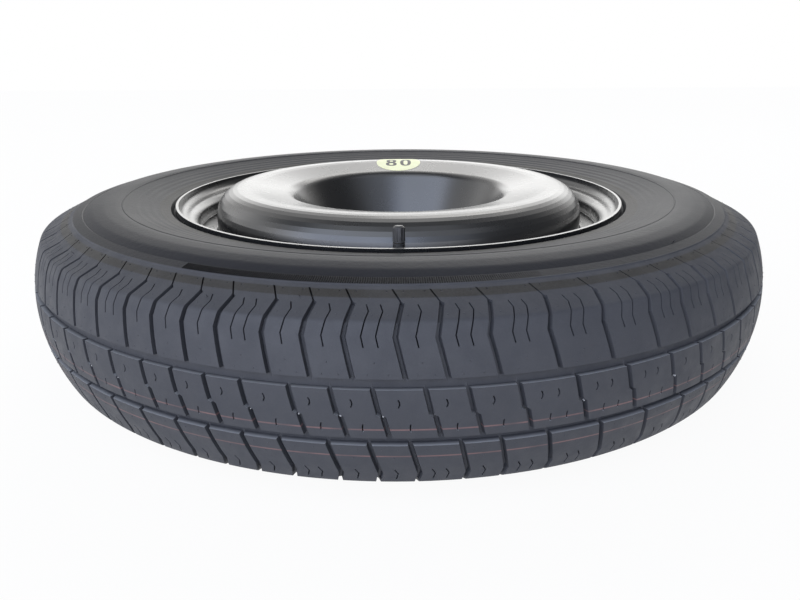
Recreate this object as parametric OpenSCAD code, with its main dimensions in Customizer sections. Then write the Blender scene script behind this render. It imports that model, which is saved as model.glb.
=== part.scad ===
// Space saver spare wheel: a narrow tyre on a pressed steel rim and disc, with its valve.
// The wheel lies flat. Z is the wheel's axis, the street side looks up and the tyre's lower
// sidewall rests at z = 0. The valve stands at the front, towards -Y.

/* [Tyre] */
// Diameter over the tread
tyre_d = 685.4; // [670:0.2:700]
// Width over the sidewalls
tyre_w = 145.4; // [143:0.2:152]
// Radius of the crown's arc across the tread
crown_arc = 130; // [115:1:180]
// Height of the shoulder edge above the wheel's middle plane
shoulder_z = 53.4; // [52:0.1:55]
// Thickness of the tread and belts under the tread surface
tread_t = 13; // [11:0.1:15]
// Thickness of the sidewall
wall_t = 6.2; // [5:0.1:8]
// Distance of the shoulder ring's outer edge inside the tread radius
ring_drop = 37.5; // [34:0.1:42]
// Width of the shoulder ring
ring_w = 7.6; // [5:0.1:10]
// Height of the shoulder ring over the rubber beside it
ring_h = 0.8; // [0.4:0.1:1.4]

/* [Tread pattern] */
// Width of the upper circumferential groove
upper_groove_w = 6.4; // [5:0.1:8]
// Width of the lower circumferential groove
lower_groove_w = 5.7; // [5:0.1:8]
// Depth of the circumferential grooves
groove_depth = 4; // [3:0.1:5]
// Width of the centre rib between the two grooves
rib_w = 31.2; // [28:0.1:34]
// Width of the cross grooves
slot_w = 2.5; // [1.8:0.1:3.2]
// Depth of the cross grooves
slot_depth = 3.6; // [2.5:0.1:4.5]
// Lean of the cross grooves from the axis, in degrees
slot_lean = 13; // [8:0.5:18]
// Sideways step of the cross groove at the middle of the centre rib
slot_step = 2.3; // [1:0.1:3]
// Width of the narrow tail of a cross groove on the shoulder
tail_w = 0.9; // [0.6:0.1:1.4]
// Depth of the cross grooves on the shoulder
tail_depth = 2.6; // [1.8:0.1:3]

/* [Rim] */
// Diameter of the bead seats
seat_d = 405.6; // [403:0.1:408]
// Width between the two flanges
rim_w = 101.6; // [99:0.1:104]
// Thickness of the rim sheet
rim_t = 2.4; // [2.2:0.1:2.6]
// Height of the flange over the bead seat
flange_h = 17.3; // [16.5:0.1:18]
// Reach of the flange's curled lip past the flange face
lip_reach = 13.2; // [12:0.1:14]
// Depth of the well under the bead seat
well_depth = 16.8; // [16.4:0.1:17.2]
// Distance of the ledge's outer edge from the flange face
ledge_drop = 16.8; // [16:0.1:17.6]
// Lean of the ledge, and with it of the valve, in degrees
ledge_lean = 6; // [4:0.5:8]
// Distance of the well's lower corner below the middle plane
well_low = 22; // [18:0.5:26]

/* [Disc] */
// Thickness of the disc sheet
disc_t = 3; // [2.6:0.1:3.4]
// Height of the hub face above the middle plane
offset_z = 14; // [8:0.5:18]
// Diameter of the centre bore
bore_d = 67.1; // [60:0.1:72]
// Diameter of the bolt circle
bolt_pcd = 114.3; // [108:0.1:118]
// Number of bolt holes
bolt_count = 5; // [4:1:5]
// Diameter of a bolt hole
bolt_d = 15; // [13:0.1:16]
// Height of the pressed seat round a bolt hole
bolt_seat_h = 3.2; // [2:0.1:4]
// Radius of the flat hub pad
pad_r = 84; // [80:0.5:88]
// Radius of the bowl's mouth
mouth_r = 109.8; // [106:0.2:114]
// Height of the bowl's mouth above the middle plane
mouth_z = 66.8; // [64:0.2:70]
// Height of the crown above the middle plane
crown_z = 75; // [73:0.2:78]
// Distance of the crown's level ring inside the skirt
crown_in = 33.6; // [30:0.2:38]
// Radius of the crown's outer bend
crown_bend = 26; // [20:0.5:28]
// Length of the skirt below the middle plane
skirt_low = 12; // [8:0.5:16]

/* [Valve] */
// Diameter of the rim's valve hole
valve_hole_d = 11.3; // [10.9:0.1:11.5]
// Diameter of the rubber head under the rim
valve_head_d = 15.2; // [14.4:0.1:15.6]
// Length of the rubber above the rim
rubber_len = 25.4; // [22:0.1:28]
// Diameter of the rubber at its upper end
rubber_d = 9.2; // [8.8:0.1:10]
// Length of the bare thread above the rubber
thread_len = 10.6; // [9:0.1:12]
// Outer diameter of the stem's thread
thread_d = 7.7; // [7.5:0.1:7.9]
// Diameter of the stem inside the rubber
stem_d = 6.2; // [5.8:0.1:6.6]
// Outer diameter of the cap over its ribs
cap_d = 9.4; // [9.1:0.1:10.4]
// Length of the cap
cap_len = 12.8; // [11.5:0.1:13.4]
// Number of ribs round the cap
cap_ribs = 10; // [8:1:16]
// Play between parts that turn or slide in each other
play = 0.05; // [0.02:0.01:0.08]

/* [Marker disc] */
// Diameter of the round sticker on the crown
sticker_d = 54; // [40:1:58]
// Distance of the sticker's centre inside the crown's level ring
sticker_in = 9; // [6:0.5:12]
// Thickness of the sticker
sticker_t = 0.25; // [0.15:0.05:0.4]

/* [Hidden] */

mid_z = tyre_w / 2;
tyre_r = tyre_d / 2;
seat_r = seat_d / 2;
flange_r = seat_r + flange_h;
face_z = rim_w / 2;
lip_z = face_z + lip_reach;
arc_step = 10;

// Paths are lists of [radius, height, bend radius], with heights from the middle plane.
function flat2(p) = [p[0], p[1]];
function unit(v) = v / norm(v);
function left_of(a, b) = unit([a[1] - b[1], b[0] - a[0]]);
function spin(v, angle) = [v[0] * cos(angle) - v[1] * sin(angle), v[0] * sin(angle) + v[1] * cos(angle)];
function reversed(list) = [for (i = [len(list) - 1 : -1 : 0]) list[i]];
function mirrored(list) = [for (p = reversed(list)) len(p) > 2 ? [p[0], -p[1], p[2]] : [p[0], -p[1]]];

// The arc that rounds the corner b between a and c
function bend(a, b, c, radius) =
    let (u = unit(a - b), v = unit(c - b), half = acos(u * v) / 2,
        centre = b + unit(u + v) * radius / sin(half),
        start = b + u * radius / tan(half) - centre,
        turn = 180 - 2 * half, side = sign(cross(u, v)),
        steps = max(1, ceil(turn / arc_step)))
    [for (i = [0 : steps]) centre + spin(start, -side * turn * i / steps)];

// A path with its corners rounded
function rounded(path) = [for (i = [0 : len(path) - 1])
    each (i == 0 || i == len(path) - 1 || path[i][2] == 0) ? [flat2(path[i])]
        : bend(flat2(path[i - 1]), flat2(path[i]), flat2(path[i + 1]), path[i][2])];

// A path moved sideways, to its left where distance is positive
function shifted(path, distance) = [for (i = [0 : len(path) - 1])
    let (last = len(path) - 1,
        before = i == 0 ? left_of(path[0], path[1]) : left_of(path[i - 1], path[i]),
        after = i == last ? before : left_of(path[i], path[i + 1]),
        middle = unit(before + after))
    path[i] + middle * distance / (middle * before)];

// The section of a sheet between two distances from a path
module sheet(path, near, far) {
    polygon(concat(shifted(path, near), reversed(shifted(path, far))));
}

module turned(angle = 360, start = 0) {
    translate([0, 0, mid_z]) rotate_extrude(angle = angle, start = start, $fn = 180) children();
}

/* Tyre */
function crown(z) = tyre_r - crown_arc + sqrt(crown_arc * crown_arc - z * z);

half_w = tyre_w / 2;
rib_edge = rib_w / 2;
ring_outer_r = tyre_r - ring_drop;
ring_inner_r = ring_outer_r - ring_w;
wall_h = ring_inner_r - flange_r;
function wall(share) = flange_r + wall_h * share;
rest_r = [wall(0.631), wall(0.774)];
rest_bend = wall_h * 0.258;
wall_bend = wall_h * 0.155;
ring_low = 7;
ring_high = 4.4;
shoulder_bend = 5;
crown_steps = 4;
crown_end = shoulder_z - 9.4;
shoulder = [crown(shoulder_z), shoulder_z];
ring_corner = [ring_outer_r + ring_h, half_w - ring_low];

// The bead's outside, from the ridge beside the flange to the toe
ridge_z = half_w - 10.2;
flange_foot = face_z + 6.2;
bead_toe = 6;
bead_in = 11.4;
bead_bend = 14;

// The fine raised line on the sidewall, where the bead's slope ends
line_r = wall(0.569);
line_z = half_w - 1.2;
line_w = 1.4;
line_h = 0.5;

outer_half = concat(
    [[crown(0), 0, 0], [crown(rib_edge), rib_edge, 0]],
    [for (i = [0 : crown_steps]) let (from = rib_edge + upper_groove_w, z = from + (crown_end - from) * i / crown_steps)
        [crown(z), z, 0]],
    [concat(shoulder, [shoulder_bend]), concat(ring_corner, [0]), [ring_outer_r, ring_corner[1] + ring_h, 0],
        [ring_inner_r, half_w - ring_high, 0], [ring_inner_r - ring_h, half_w - ring_high - ring_h / 2, 0],
        [wall(0.902), half_w - 1.6, wall_bend], [rest_r[1], half_w, rest_bend], [rest_r[0], half_w, rest_bend],
        [line_r + line_w, line_z + 0.3, 0], [line_r + line_w * 0.7, line_z + line_h, 0],
        [line_r + line_w * 0.3, line_z + line_h, 0], [line_r, line_z, 0],
        [flange_r + 7, ridge_z, 2], [flange_r + 4.6, ridge_z - 0.2, 0.8],
        [flange_r + 2.4, flange_foot + 1.3, 1], [flange_r, flange_foot, 0], [seat_r - bead_toe, flange_foot, 0]]);
inner_half = [[tyre_r - tread_t, 0, 0], [crown(30) - tread_t, 30, 30], [crown(46) - tread_t - 3, 46, bead_bend],
    [ring_outer_r, half_w - ring_low - wall_t - 2, rest_bend], [rest_r[1], half_w - wall_t, rest_bend],
    [rest_r[0], half_w - wall_t, rest_bend], [flange_r + 6, half_w - wall_t - 10, bead_bend],
    [seat_r + 12, face_z - bead_in + 0.8, bead_bend / 2], [seat_r - bead_toe, face_z - bead_in, 0]];

module tyre_section() {
    outer = rounded(outer_half);
    inner = rounded(inner_half);
    polygon(concat(mirrored(outer), outer, reversed(inner), reversed(mirrored(inner))));
}

// One letter per pitch: short, medium or long
pitch_code = str("MMMSSSMSSMSMLLLMMM", "LMSMLLMSSMMLMSSMSM", "LLMMSMSSMLMMSLMMSM", "SSMLLMMSMLMSSMMLMM");
pitch_size = [["S", 0.81], ["M", 1], ["L", 1.22]];
first_pitch = -43.4;
function size_of(letter) = pitch_size[search(letter, pitch_size)[0]][1];
pitches = [for (letter = pitch_code) size_of(letter)];
function total(list, upto) = upto == 0 ? 0 : list[upto - 1] + total(list, upto - 1);
pitch_unit = 360 / total(pitches, len(pitches));
pitch_angles = [for (i = [0 : len(pitches) - 1]) first_pitch + total(pitches, i) * pitch_unit];

slot_run = tan(slot_lean);
upper_offset = -1.85;
lower_offset = 3.6;
slot_past = 1.2;

// A groove's outline from its middle line, a list of [across, height, width]
module slot_plan(line) {
    polygon(concat([for (p = line) [p[0] - p[2] / 2, p[1]]],
        reversed([for (p = line) [p[0] + p[2] / 2, p[1]]])));
}

// Cuts a plan into the tyre, with its floor through the point floor = [radius, height]
module slot_cut(floor, tilt = 0) {
    translate([0, -floor[0], floor[1]]) rotate([-tilt, 0, 0]) rotate([90, 0, 0])
        linear_extrude(slot_depth * 3) children();
}

module centre_slot() {
    top = rib_edge + slot_past;
    slot_cut([tyre_r - slot_depth, 0]) slot_plan([[-slot_past * slot_run, top, slot_w],
        [rib_edge * slot_run, 0, slot_w], [rib_edge * slot_run + slot_step, -1.2, slot_w],
        [top * 2 * slot_run + slot_step, -top, slot_w]]);
}

// One cross groove on the shoulder: up the crown to its knee, over the edge and into its narrow tail
knee_z = 45;
edge_x = 0.8;
tail_knee = 0.48;
tail_end = 0.9;
tail_x = [2.3, -1.2];
slope = ring_corner - shoulder;
slope_len = norm(slope);
slope_tilt = atan(-slope[0] / slope[1]);

module shoulder_slot(side, groove_w) {
    start = rib_edge + groove_w - slot_past;
    pivot = (start + shoulder_z) / 2;
    crown_tilt = atan((crown(start) - crown(shoulder_z)) / (shoulder_z - start));
    knee = -(knee_z - start) * slot_run;
    edge = knee + edge_x;
    slot_cut([crown(pivot) - slot_depth, side * pivot], side * crown_tilt) slot_plan([
        [0, side * (start - pivot), slot_w],
        [side * knee, side * (knee_z - pivot), slot_w],
        [side * edge, side * (shoulder_z + 2 - pivot), slot_w * 0.9]]);
    normal = [slope[1], -slope[0]] / slope_len;
    floor = shoulder - normal * tail_depth;
    slot_cut([floor[0], side * floor[1]], side * slope_tilt) slot_plan([
        [side * edge, -side * tail_depth, slot_w * 0.9],
        [side * (knee + tail_x[0]), side * slope_len * tail_knee, slot_w * 0.8],
        [side * (knee + tail_x[0] - 0.3), side * (slope_len * tail_knee + 1.2), tail_w],
        [side * (knee + tail_x[1]), side * slope_len * tail_end, tail_w]]);
}

module tyre() {
    color([0.17, 0.17, 0.18]) difference() {
        turned() difference() {
            tyre_section();
            translate([tyre_r - groove_depth, rib_edge]) square([groove_depth * 2, upper_groove_w]);
            translate([tyre_r - groove_depth, -rib_edge - lower_groove_w]) square([groove_depth * 2, lower_groove_w]);
            rim_envelope();
        }
        translate([0, 0, mid_z]) for (angle = pitch_angles) {
            rotate([0, 0, angle]) centre_slot();
            rotate([0, 0, angle + upper_offset]) shoulder_slot(1, upper_groove_w);
            rotate([0, 0, angle + lower_offset]) shoulder_slot(-1, lower_groove_w);
        }
    }
}

/* Rim */
well_r = seat_r - well_depth;
ledge_z = face_z - ledge_drop;
seat_taper = tan(5);
seat_low = 10.3;
hump = 2.1;
rim_path = [[flange_r, lip_z, 0], [flange_r, face_z, 9.5], [seat_r, face_z, 6.5],
    [seat_r - seat_low * seat_taper, face_z - seat_low, 5], [seat_r + hump, ledge_z, 3],
    [well_r, ledge_z - (seat_r + hump - well_r) * tan(ledge_lean), 1.2],
    [well_r, -well_low, 6], [seat_r + hump, -ledge_z - 1.5, 4],
    [seat_r - seat_low * seat_taper, -face_z + seat_low, 5], [seat_r, -face_z, 6.5],
    [flange_r, -face_z, 9.5], [flange_r, -lip_z, 0]];

// Everything inside the rim's tyre side
module rim_envelope() {
    path = rounded(rim_path);
    polygon(concat([[0, lip_z]], path, [[0, -lip_z]]));
}

module rim() {
    color([0.09, 0.09, 0.1]) difference() {
        turned() sheet(rounded(rim_path), 0, -rim_t);
        at_valve() cylinder(d = valve_hole_d, h = rim_t * 4, center = true, $fn = 60);
    }
}

/* Disc */
pad_z = offset_z + disc_t;
skirt_r = well_r - rim_t;
crown_r = skirt_r - crown_in;
pad_bend = 8;
mouth_bend = 12;
crown_top_bend = 60;
disc_path = [[bore_d / 2, pad_z, 0], [pad_r, pad_z, pad_bend], [mouth_r, mouth_z, mouth_bend],
    [crown_r, crown_z, crown_top_bend],
    [skirt_r, crown_z, crown_bend], [skirt_r, -skirt_low, 0]];
land_count = 4;
land_angle = 360 / land_count;
scallop_r = 70;
scallop_h = 9;

module disc() {
    seat_depth = 4;
    seat_r2 = bolt_d / 2 + seat_depth * tan(30);
    color([0.08, 0.08, 0.09]) difference() {
        union() {
            turned() sheet(rounded(disc_path), 0, -disc_t);
            bolt_places(pad_z - disc_t / 2)
                cylinder(r1 = bolt_d / 2 + 6.4, r2 = bolt_d / 2 + 4.2, h = bolt_seat_h + disc_t / 2, $fn = 60);
        }
        bolt_places(offset_z) cylinder(d = bolt_d, h = disc_t * 4, center = true, $fn = 60);
        bolt_places(pad_z + bolt_seat_h - seat_depth)
            cylinder(r1 = bolt_d / 2, r2 = seat_r2, h = seat_depth, $fn = 60);
        for (i = [0 : land_count - 1]) rotate([0, 0, i * land_angle])
            translate([0, 0, mid_z - skirt_low + scallop_h - scallop_r]) rotate([90, 0, 0])
                translate([0, 0, skirt_r - 12]) cylinder(r = scallop_r, h = 24, $fn = 90);
    }
}

module bolt_places(height) {
    for (i = [0 : bolt_count - 1]) rotate([0, 0, 90 + i * 360 / bolt_count])
        translate([bolt_pcd / 2, 0, mid_z + height]) children();
}

module weld_beads() {
    leg = disc_t;
    span = 34;
    foot = -skirt_low;
    color([0.12, 0.12, 0.13]) for (i = [0 : land_count - 1])
        rotate([0, 0, 45 + i * land_angle - span / 2]) turned(span)
            polygon([[skirt_r, foot], [skirt_r - leg * 0.9, foot], [skirt_r - leg * 0.75, foot - leg * 0.55],
                [skirt_r - leg * 0.35, foot - leg * 1.1], [skirt_r, foot - leg * 1.4]]);
}

/* Valve, in its own frame: z = 0 is the ledge's open side, +z leaves the rim */
valve_r = well_r + valve_head_d / 2 + 0.6;
ledge_top = ledge_z - (seat_r + hump - valve_r) * tan(ledge_lean) + rim_t / cos(ledge_lean);
stem_top = rubber_len + thread_len;
stem_low = -rim_t - 8.4;
cap_seal_t = 0.8;
cap_top = stem_top + cap_seal_t + 1.8;
core_top = stem_top - 0.8;
core_seat = stem_top - 8;
plug_len = 4;
barrel_low = stem_top - 14;
pin_r = 0.45;
chamber_r = 1.2;
barrel_floor = 0.8;
collar_t = 0.4;
core_bore = 2.6;
air_bore = 1.9;
neck_r = air_bore - 0.35;

module at_valve() {
    translate([0, -valve_r, mid_z + ledge_top]) rotate([-ledge_lean, 0, 0]) children();
}

module lathe(points) {
    rotate_extrude($fn = 60) polygon(points);
}

module valve_rubber() {
    head = valve_head_d / 2;
    hole = valve_hole_d / 2;
    color([0.1, 0.1, 0.1]) at_valve() lathe([[stem_d / 2, -rim_t - 8], [stem_d / 2 + 1.8, -rim_t - 8],
        [head - 1.4, -rim_t - 5.6], [head, -rim_t - 1.8], [head, -rim_t - 0.6], [head - 0.6, -rim_t],
        [hole, -rim_t], [hole, 0], [hole + 0.7, 0], [hole + 0.7, 1.8], [rubber_d / 2 + 0.5, 6],
        [rubber_d / 2 + 0.2, 12], [rubber_d / 2, rubber_len - 0.8], [rubber_d / 2 - 0.6, rubber_len],
        [stem_d / 2, rubber_len]]);
}

module valve_stem() {
    thread = thread_d / 2;
    color([0.72, 0.58, 0.3]) at_valve() lathe([[air_bore, stem_low], [stem_d / 2, stem_low],
        [stem_d / 2, rubber_len], [thread - 0.4, rubber_len], [thread, rubber_len + 0.4],
        [thread, stem_top - 0.6], [thread - 0.6, stem_top], [core_bore + play, stem_top],
        [core_bore + play, core_seat + 1.2], [air_bore, core_seat]]);
}

module core_plug() {
    flat_w = 2.4;
    color([0.75, 0.6, 0.32]) at_valve() difference() {
        translate([0, 0, core_top - plug_len]) cylinder(r = core_bore, h = plug_len, $fn = 60);
        translate([0, 0, core_top - plug_len]) cylinder(r = pin_r + play, h = plug_len * 2, $fn = 60);
        for (side = [-1, 1]) translate([side * (flat_w / 2 + core_bore), 0, core_top])
            cube([core_bore * 2, core_bore * 4, plug_len / 2], center = true);
    }
}

module core_barrel() {
    top = core_top - plug_len;
    color([0.78, 0.64, 0.36]) at_valve() lathe([[pin_r + play, barrel_low], [neck_r, barrel_low],
        [neck_r, core_seat + 1.6], [core_bore - 0.5, core_seat + 2.4], [core_bore - 0.5, top], [chamber_r, top],
        [chamber_r, barrel_low + barrel_floor], [pin_r + play, barrel_low + barrel_floor]]);
}

module core_barrel_seal() {
    color([0.7, 0.12, 0.1]) at_valve() lathe([[neck_r, core_seat - 0.6], [air_bore, core_seat - 0.6],
        [air_bore, core_seat], [core_bore - 0.35, core_seat + 1.2], [core_bore - 0.35, core_seat + 1.9],
        [neck_r + 0.3, core_seat + 1.9], [neck_r, core_seat + 1.6]]);
}

module core_pin() {
    collar_top = core_top - plug_len;
    color([0.8, 0.66, 0.38]) at_valve() lathe([[0, barrel_low - 2.4], [pin_r, barrel_low - 2.4],
        [pin_r, collar_top - collar_t], [chamber_r - 0.2, collar_top - collar_t], [chamber_r - 0.2, collar_top],
        [pin_r, collar_top], [pin_r, stem_top - 0.3], [0, stem_top - 0.3]]);
}

module core_cup() {
    color([0.78, 0.64, 0.36]) at_valve() lathe([[pin_r, barrel_low - 1.6], [1.3, barrel_low - 1.6],
        [1.55, barrel_low - 1.2], [1.55, barrel_low - 0.2], [1.3, barrel_low - 0.2], [1.3, barrel_low - 0.8],
        [pin_r, barrel_low - 0.8]]);
}

module core_cup_seal() {
    color([0.12, 0.12, 0.12]) at_valve() lathe([[pin_r, barrel_low - 0.8], [1.3, barrel_low - 0.8],
        [1.3, barrel_low], [pin_r, barrel_low]]);
}

// A coil spring, swept as a ring of sides along a helix
module core_spring() {
    turns = 5;
    wire = 0.13;
    coil = chamber_r - wire - 0.12;
    low = barrel_low + barrel_floor + wire;
    high = core_top - plug_len - collar_t - wire;
    rings = turns * 12;
    sides = 6;
    points = [for (i = [0 : rings], k = [0 : sides - 1])
        let (around = 360 * turns * i / rings, out = coil + wire * cos(360 * k / sides))
        [out * cos(around), out * sin(around), low + (high - low) * i / rings + wire * sin(360 * k / sides)]];
    walls = [for (i = [0 : rings - 1], k = [0 : sides - 1])
        let (a = i * sides + k, b = i * sides + (k + 1) % sides, c = a + sides, d = b + sides)
        each [[a, b, c], [b, d, c]]];
    ends = [for (k = [1 : sides - 2]) each [[0, k + 1, k], [rings * sides, rings * sides + k, rings * sides + k + 1]]];
    color([0.7, 0.7, 0.72]) at_valve() polyhedron(points, concat(walls, ends));
}

module valve_cap() {
    body = cap_d / 2 - 0.35;
    foot = cap_top - cap_len;
    color([0.06, 0.06, 0.07]) at_valve() difference() {
        union() {
            lathe([[0, foot], [cap_d / 2, foot], [cap_d / 2, foot + 1], [body, foot + 1.3], [body, cap_top - 1.2],
                [body - 1.2, cap_top], [0, cap_top]]);
            for (i = [0 : cap_ribs - 1]) rotate([0, 0, i * 360 / cap_ribs])
                translate([body - 0.2, 0, foot + 0.6]) cylinder(r = 0.55, h = cap_len - 2.2, $fn = 16);
        }
        translate([0, 0, foot - 1]) cylinder(r = thread_d / 2 + play, h = stem_top + cap_seal_t - foot + 1, $fn = 60);
    }
}

module cap_seal() {
    color([0.14, 0.14, 0.14]) at_valve() lathe([[1.4, stem_top], [thread_d / 2, stem_top],
        [thread_d / 2, stem_top + cap_seal_t], [1.4, stem_top + cap_seal_t]]);
}

/* Round sticker on the far side of the crown */
sticker_r = crown_r - sticker_in;

module round_sticker() {
    color([0.93, 0.9, 0.3]) intersection() {
        turned() sheet(rounded(disc_path), sticker_t, 0);
        translate([0, sticker_r, mid_z]) cylinder(d = sticker_d, h = crown_z * 2, $fn = 90);
    }
}

tyre();
rim();
disc();
weld_beads();
valve_rubber();
valve_stem();
core_plug();
core_barrel();
core_barrel_seal();
core_pin();
core_cup();
core_cup_seal();
core_spring();
valve_cap();
cap_seal();
round_sticker();
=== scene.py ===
import bpy
import math
import random
import numpy as np
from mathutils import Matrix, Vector
from mathutils.geometry import delaunay_2d_cdt


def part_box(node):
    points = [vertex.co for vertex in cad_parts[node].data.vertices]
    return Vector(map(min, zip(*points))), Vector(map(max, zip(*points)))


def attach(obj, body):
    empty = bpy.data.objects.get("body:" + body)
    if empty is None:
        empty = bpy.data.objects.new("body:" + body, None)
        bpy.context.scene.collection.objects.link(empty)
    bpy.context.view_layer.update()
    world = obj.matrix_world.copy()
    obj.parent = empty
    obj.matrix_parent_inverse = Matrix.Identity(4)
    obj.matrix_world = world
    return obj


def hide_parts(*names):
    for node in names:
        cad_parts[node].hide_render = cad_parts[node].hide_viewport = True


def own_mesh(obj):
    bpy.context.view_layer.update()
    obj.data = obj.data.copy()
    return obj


# A space saver spare wheel that lies flat, its valve at the front. Lengths here are in
# millimetres, and heights count from the wheel's middle plane until place() gives metres.

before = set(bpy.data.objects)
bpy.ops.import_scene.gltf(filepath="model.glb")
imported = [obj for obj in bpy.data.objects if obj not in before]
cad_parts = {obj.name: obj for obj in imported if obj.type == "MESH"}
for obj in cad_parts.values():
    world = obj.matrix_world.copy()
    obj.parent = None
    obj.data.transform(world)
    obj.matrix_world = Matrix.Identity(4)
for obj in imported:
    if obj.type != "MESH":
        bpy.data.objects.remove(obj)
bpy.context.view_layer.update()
random.seed(11)

tyreLow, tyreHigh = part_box("tyre")
rimLow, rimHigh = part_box("rim")
middle = (tyreLow.z + tyreHigh.z) * 500
tyreRadius = (tyreHigh.x - tyreLow.x) * 500
halfWidth = (tyreHigh.z - tyreLow.z) * 500
flangeRadius = (rimHigh.x - rimLow.x) * 500
print("frame: tyre radius %.1f mm, half width %.1f mm" % (tyreRadius, halfWidth))


def place(radius, height, angle):
    return (radius * math.sin(angle) * 0.001, -radius * math.cos(angle) * 0.001, (height + middle) * 0.001)


def rounded(path, step=10):  # [radius, height, bend, step] corners to a list of points
    points = []
    for i, corner in enumerate(path):
        here = Vector(corner[:2])
        bend = corner[2] if len(corner) > 2 else 0
        if i in (0, len(path) - 1) or bend == 0:
            points.append(here)
            continue
        back = (Vector(path[i - 1][:2]) - here).normalized()
        ahead = (Vector(path[i + 1][:2]) - here).normalized()
        half = back.angle(ahead) / 2
        centre = here + (back + ahead).normalized() * bend / math.sin(half)
        first = here + back * bend / math.tan(half) - centre
        side = math.copysign(1, back.cross(ahead))
        turn = math.pi - 2 * half
        steps = max(1, math.ceil(math.degrees(turn) / (corner[3] if len(corner) > 3 else step)))
        for k in range(steps + 1):
            a = -side * turn * k / steps
            points.append(centre + Vector((first.x * math.cos(a) - first.y * math.sin(a),
                                           first.x * math.sin(a) + first.y * math.cos(a))))
    return points


def addObject(name, data):
    item = bpy.data.objects.new(name, data)
    bpy.context.scene.collection.objects.link(item)
    return item


def meshPiece(name, points, faces, material, smoothAngle=None):
    mesh = bpy.data.meshes.new(name)
    mesh.from_pydata(points, [], faces)
    mesh.materials.append(material)
    mesh.shade_smooth()
    if smoothAngle is not None:
        mesh.set_sharp_from_angle(angle=math.radians(smoothAngle))
    return addObject(name, mesh)


# Shader groups that several finishes share
def newGroup(name, inputs, outputs):
    group = bpy.data.node_groups.new(name, "ShaderNodeTree")
    for label, kind, value in inputs:
        socket = group.interface.new_socket(label, in_out="INPUT", socket_type=kind)
        if value is not None:
            socket.default_value = value
    for label, kind in outputs:
        group.interface.new_socket(label, in_out="OUTPUT", socket_type=kind)
    return group, group.nodes.new("NodeGroupInput"), group.nodes.new("NodeGroupOutput")


def mathNode(tree, operation, a, b=None, clamp=False, c=None):
    node = tree.nodes.new("ShaderNodeMath")
    node.operation = operation
    node.use_clamp = clamp
    for i, value in enumerate((a, b, c)):
        if value is None:
            continue
        if isinstance(value, (int, float)):
            node.inputs[i].default_value = value
        else:
            tree.links.new(value, node.inputs[i])
    return node.outputs[0]


def times(tree, a, b, clamp=False):
    return mathNode(tree, "MULTIPLY", a, b, clamp)


def spread(tree, value, low, high, outLow=0.0, outHigh=1.0):
    node = tree.nodes.new("ShaderNodeMapRange")
    tree.links.new(value, node.inputs["Value"])
    for label, number in (("From Min", low), ("From Max", high), ("To Min", outLow), ("To Max", outHigh)):
        if isinstance(number, (int, float)):
            node.inputs[label].default_value = number
        else:
            tree.links.new(number, node.inputs[label])
    return node.outputs["Result"]


def mixColour(tree, factor, first, second, blend="MIX"):
    node = tree.nodes.new("ShaderNodeMix")
    node.data_type = "RGBA"
    node.blend_type = blend
    for label, value in ((0, factor), (6, first), (7, second)):
        if isinstance(value, (int, float, tuple)):
            node.inputs[label].default_value = value
        else:
            tree.links.new(value, node.inputs[label])
    return node.outputs[2]


def mixShaders(tree, factor, first, second, output):
    node = tree.nodes.new("ShaderNodeMixShader")
    for socket, value in zip(node.inputs, (factor, first, second)):
        tree.links.new(value, socket)
    tree.links.new(node.outputs[0], tree.nodes[output].inputs["Surface"])


def noise(tree, vector, scale, detail=3.0, roughness=0.5):
    node = tree.nodes.new("ShaderNodeTexNoise")
    tree.links.new(vector, node.inputs["Vector"])
    if isinstance(scale, (int, float)):
        node.inputs["Scale"].default_value = scale
    else:
        tree.links.new(scale, node.inputs["Scale"])
    node.inputs["Detail"].default_value = detail
    node.inputs["Roughness"].default_value = roughness
    return node.outputs["Fac"]


def dustGroup():  # pale dust in patches, more on what faces up
    group, source, sink = newGroup("dustFilm", [
        ("Position", "NodeSocketVector", None), ("Colour", "NodeSocketColor", (0.03, 0.03, 0.03, 1)),
        ("Dust Colour", "NodeSocketColor", (0.3, 0.3, 0.3, 1)), ("Patch Scale", "NodeSocketFloat", 20.0),
        ("Amount", "NodeSocketFloat", 0.1)], [("Colour", "NodeSocketColor"), ("Mask", "NodeSocketFloat")])
    broad = noise(group, source.outputs["Position"], source.outputs["Patch Scale"], 4.0, 0.6)
    fine = noise(group, source.outputs["Position"], times(group, source.outputs["Patch Scale"], 30.0), 2.0, 0.6)
    geometry = group.nodes.new("ShaderNodeNewGeometry")
    split = group.nodes.new("ShaderNodeSeparateXYZ")
    group.links.new(geometry.outputs["Normal"], split.inputs[0])
    up = spread(group, split.outputs["Z"], -0.2, 1.0, 0.35, 1.0)
    patches = mathNode(group, "ADD", spread(group, broad, 0.35, 0.7), spread(group, fine, 0.4, 0.75, 0.0, 0.6))
    mask = times(group, times(group, patches, up), source.outputs["Amount"], True)
    colour = mixColour(group, mask, source.outputs["Colour"], source.outputs["Dust Colour"])
    group.links.new(colour, sink.inputs["Colour"])
    group.links.new(mask, sink.inputs["Mask"])
    return group


def ripplesGroup():  # the soft unevenness of a sprayed or moulded face
    group, source, sink = newGroup("softRipples", [
        ("Position", "NodeSocketVector", None), ("Scale", "NodeSocketFloat", 200.0),
        ("Fine Scale", "NodeSocketFloat", 1500.0), ("Fine Share", "NodeSocketFloat", 0.3),
        ("Depth", "NodeSocketFloat", 0.1)], [("Normal", "NodeSocketVector")])
    broad = noise(group, source.outputs["Position"], source.outputs["Scale"], 2.0, 0.5)
    fine = noise(group, source.outputs["Position"], source.outputs["Fine Scale"], 3.0, 0.6)
    height = mathNode(group, "ADD", broad, times(group, fine, source.outputs["Fine Share"]))
    bump = group.nodes.new("ShaderNodeBump")
    bump.inputs["Distance"].default_value = 0.0004
    group.links.new(source.outputs["Depth"], bump.inputs["Strength"])
    group.links.new(height, bump.inputs["Height"])
    group.links.new(bump.outputs["Normal"], sink.inputs["Normal"])
    return group


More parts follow.
